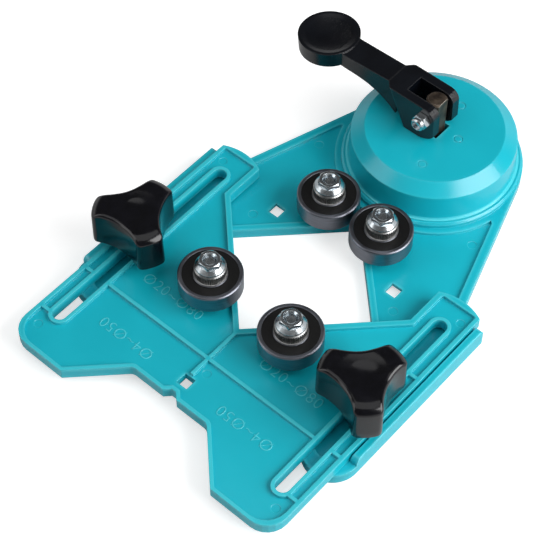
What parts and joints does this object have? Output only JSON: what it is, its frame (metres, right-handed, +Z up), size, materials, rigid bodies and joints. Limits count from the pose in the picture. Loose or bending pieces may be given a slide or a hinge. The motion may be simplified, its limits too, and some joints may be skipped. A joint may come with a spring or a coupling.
{
  "type": "drill guide",
  "caption": "Adjustable drill guide: a plate held down by a lever suction cup, and a plate sliding on it under clamp knobs, with ball bearings at both V notches that centre the drill.",
  "frame": {"origin": "on the suction cup's axis, in the plane of the base plate's underside", "axes": "+Z up, away from the tile; -Y from the suction cup towards the sliding plate; the locked lever's pad points towards -X"},
  "size_m": [0.1249, 0.1853, 0.0354],
  "materials": {
    "teal_plastic": "moulded, satin to glossy",
    "black_plastic": "moulded, glossy",
    "spacer_plastic": "moulded, matt",
    "black_rubber": "moulded, smooth",
    "seal_rubber": "moulded, matt",
    "brown_steel": "browned, turned",
    "zinc_steel": "bright zinc",
    "ring_steel": "ground",
    "ball_steel": "polished",
    "cage_steel": "pressed",
    "brass": "turned"
  },
  "bodies": {
    "base": {"base_plate": "teal_plastic", "dome_cover": "teal_plastic", "suction_cup": "black_rubber", "clamp_bolts": "zinc_steel", "base_bearing_bolts": "zinc_steel", "base_spacers": "spacer_plastic", "base_bushes": "zinc_steel", "base_nuts": "zinc_steel", "base_inner_rings": "ring_steel"},
    "stem": {"cup_stem": "brown_steel", "lever_pin": "zinc_steel", "lever_nut": "zinc_steel"},
    "hand_lever": {"lever": "black_plastic"},
    "slider": {"slide_plate": "teal_plastic", "slide_bearing_bolts": "zinc_steel", "slide_spacers": "spacer_plastic", "slide_bushes": "zinc_steel", "slide_nuts": "zinc_steel", "slide_inner_rings": "ring_steel"},
    "left_clamp": {"clamp_washer_left": "zinc_steel"},
    "left_knob": {"knob_left": "black_plastic", "knob_insert_left": "brass"},
    "right_clamp": {"clamp_washer_right": "zinc_steel"},
    "right_knob": {"knob_right": "black_plastic", "knob_insert_right": "brass"},
    "ring_base_left": {"outer_ring_base_left": "ring_steel", "seals_base_left": "seal_rubber"},
    "race_base_left": {"cage_base_left": "cage_steel", "balls_base_left": "ball_steel"},
    "ring_base_right": {"outer_ring_base_right": "ring_steel", "seals_base_right": "seal_rubber"},
    "race_base_right": {"cage_base_right": "cage_steel", "balls_base_right": "ball_steel"},
    "ring_slide_left": {"outer_ring_slide_left": "ring_steel", "seals_slide_left": "seal_rubber"},
    "race_slide_left": {"cage_slide_left": "cage_steel", "balls_slide_left": "ball_steel"},
    "ring_slide_right": {"outer_ring_slide_right": "ring_steel", "seals_slide_right": "seal_rubber"},
    "race_slide_right": {"cage_slide_right": "cage_steel", "balls_slide_right": "ball_steel"}
  },
  "joints": [
    {"name": "stem_drop", "type": "slide", "parent": "base", "child": "stem", "axis": [0, 0, 1], "range_m": [-0.00425, 0], "deforming": ["suction_cup"]},
    {"name": "lever_turn", "type": "hinge", "parent": "stem", "child": "hand_lever", "pos_m": [-0.0004, 0, 0.0305], "axis": [0, 1, 0], "range_deg": [0, 90]},
    {"name": "plate_slide", "type": "slide", "parent": "base", "child": "slider", "axis": [0, 1, 0], "range_m": [-0.0402, 0.03]},
    {"name": "left_clamp_lift", "type": "slide", "parent": "base", "child": "left_clamp", "axis": [0, 0, 1], "range_m": [0, 0.0024]},
    {"name": "left_knob_turn", "type": "hinge", "parent": "left_clamp", "child": "left_knob", "pos_m": [-0.04875, -0.0993, 0.0195], "axis": [0, 0, 1], "range_deg": [0, 1080]},
    {"name": "right_clamp_lift", "type": "slide", "parent": "base", "child": "right_clamp", "axis": [0, 0, 1], "range_m": [0, 0.0024]},
    {"name": "right_knob_turn", "type": "hinge", "parent": "right_clamp", "child": "right_knob", "pos_m": [0.04875, -0.0993, 0.0195], "axis": [0, 0, 1], "range_deg": [0, 1080]},
    {"name": "ring_spin_base_left", "type": "hinge", "parent": "base", "child": "ring_base_left", "pos_m": [-0.0116, -0.0435, 0.0115], "axis": [0, 0, 1], "continuous": true},
    {"name": "ball_spin_base_left", "type": "hinge", "parent": "base", "child": "race_base_left", "pos_m": [-0.0116, -0.0435, 0.0115], "axis": [0, 0, 1], "continuous": true},
    {"name": "ring_spin_base_right", "type": "hinge", "parent": "base", "child": "ring_base_right", "pos_m": [0.0116, -0.0435, 0.0115], "axis": [0, 0, 1], "continuous": true},
    {"name": "ball_spin_base_right", "type": "hinge", "parent": "base", "child": "race_base_right", "pos_m": [0.0116, -0.0435, 0.0115], "axis": [0, 0, 1], "continuous": true},
    {"name": "ring_spin_slide_left", "type": "hinge", "parent": "slider", "child": "ring_slide_left", "pos_m": [-0.01745, -0.0972, 0.0152], "axis": [0, 0, 1], "continuous": true},
    {"name": "ball_spin_slide_left", "type": "hinge", "parent": "slider", "child": "race_slide_left", "pos_m": [-0.01745, -0.0972, 0.0152], "axis": [0, 0, 1], "continuous": true},
    {"name": "ring_spin_slide_right", "type": "hinge", "parent": "slider", "child": "ring_slide_right", "pos_m": [0.01745, -0.0972, 0.0152], "axis": [0, 0, 1], "continuous": true},
    {"name": "ball_spin_slide_right", "type": "hinge", "parent": "slider", "child": "race_slide_right", "pos_m": [0.01745, -0.0972, 0.0152], "axis": [0, 0, 1], "continuous": true}
  ],
  "couplings": [
    {"joint": "stem_drop", "follows": "lever_turn", "m_per_rad": -0.0026738},
    {"joint": "left_knob_turn", "follows": "left_clamp_lift", "rad_per_m": 7854},
    {"joint": "right_knob_turn", "follows": "right_clamp_lift", "rad_per_m": 7854},
    {"joint": "ball_spin_base_left", "follows": "ring_spin_base_left", "ratio": 0.6323},
    {"joint": "ball_spin_base_right", "follows": "ring_spin_base_right", "ratio": 0.6323},
    {"joint": "ball_spin_slide_left", "follows": "ring_spin_slide_left", "ratio": 0.6323},
    {"joint": "ball_spin_slide_right", "follows": "ring_spin_slide_right", "ratio": 0.6323}
  ]
}
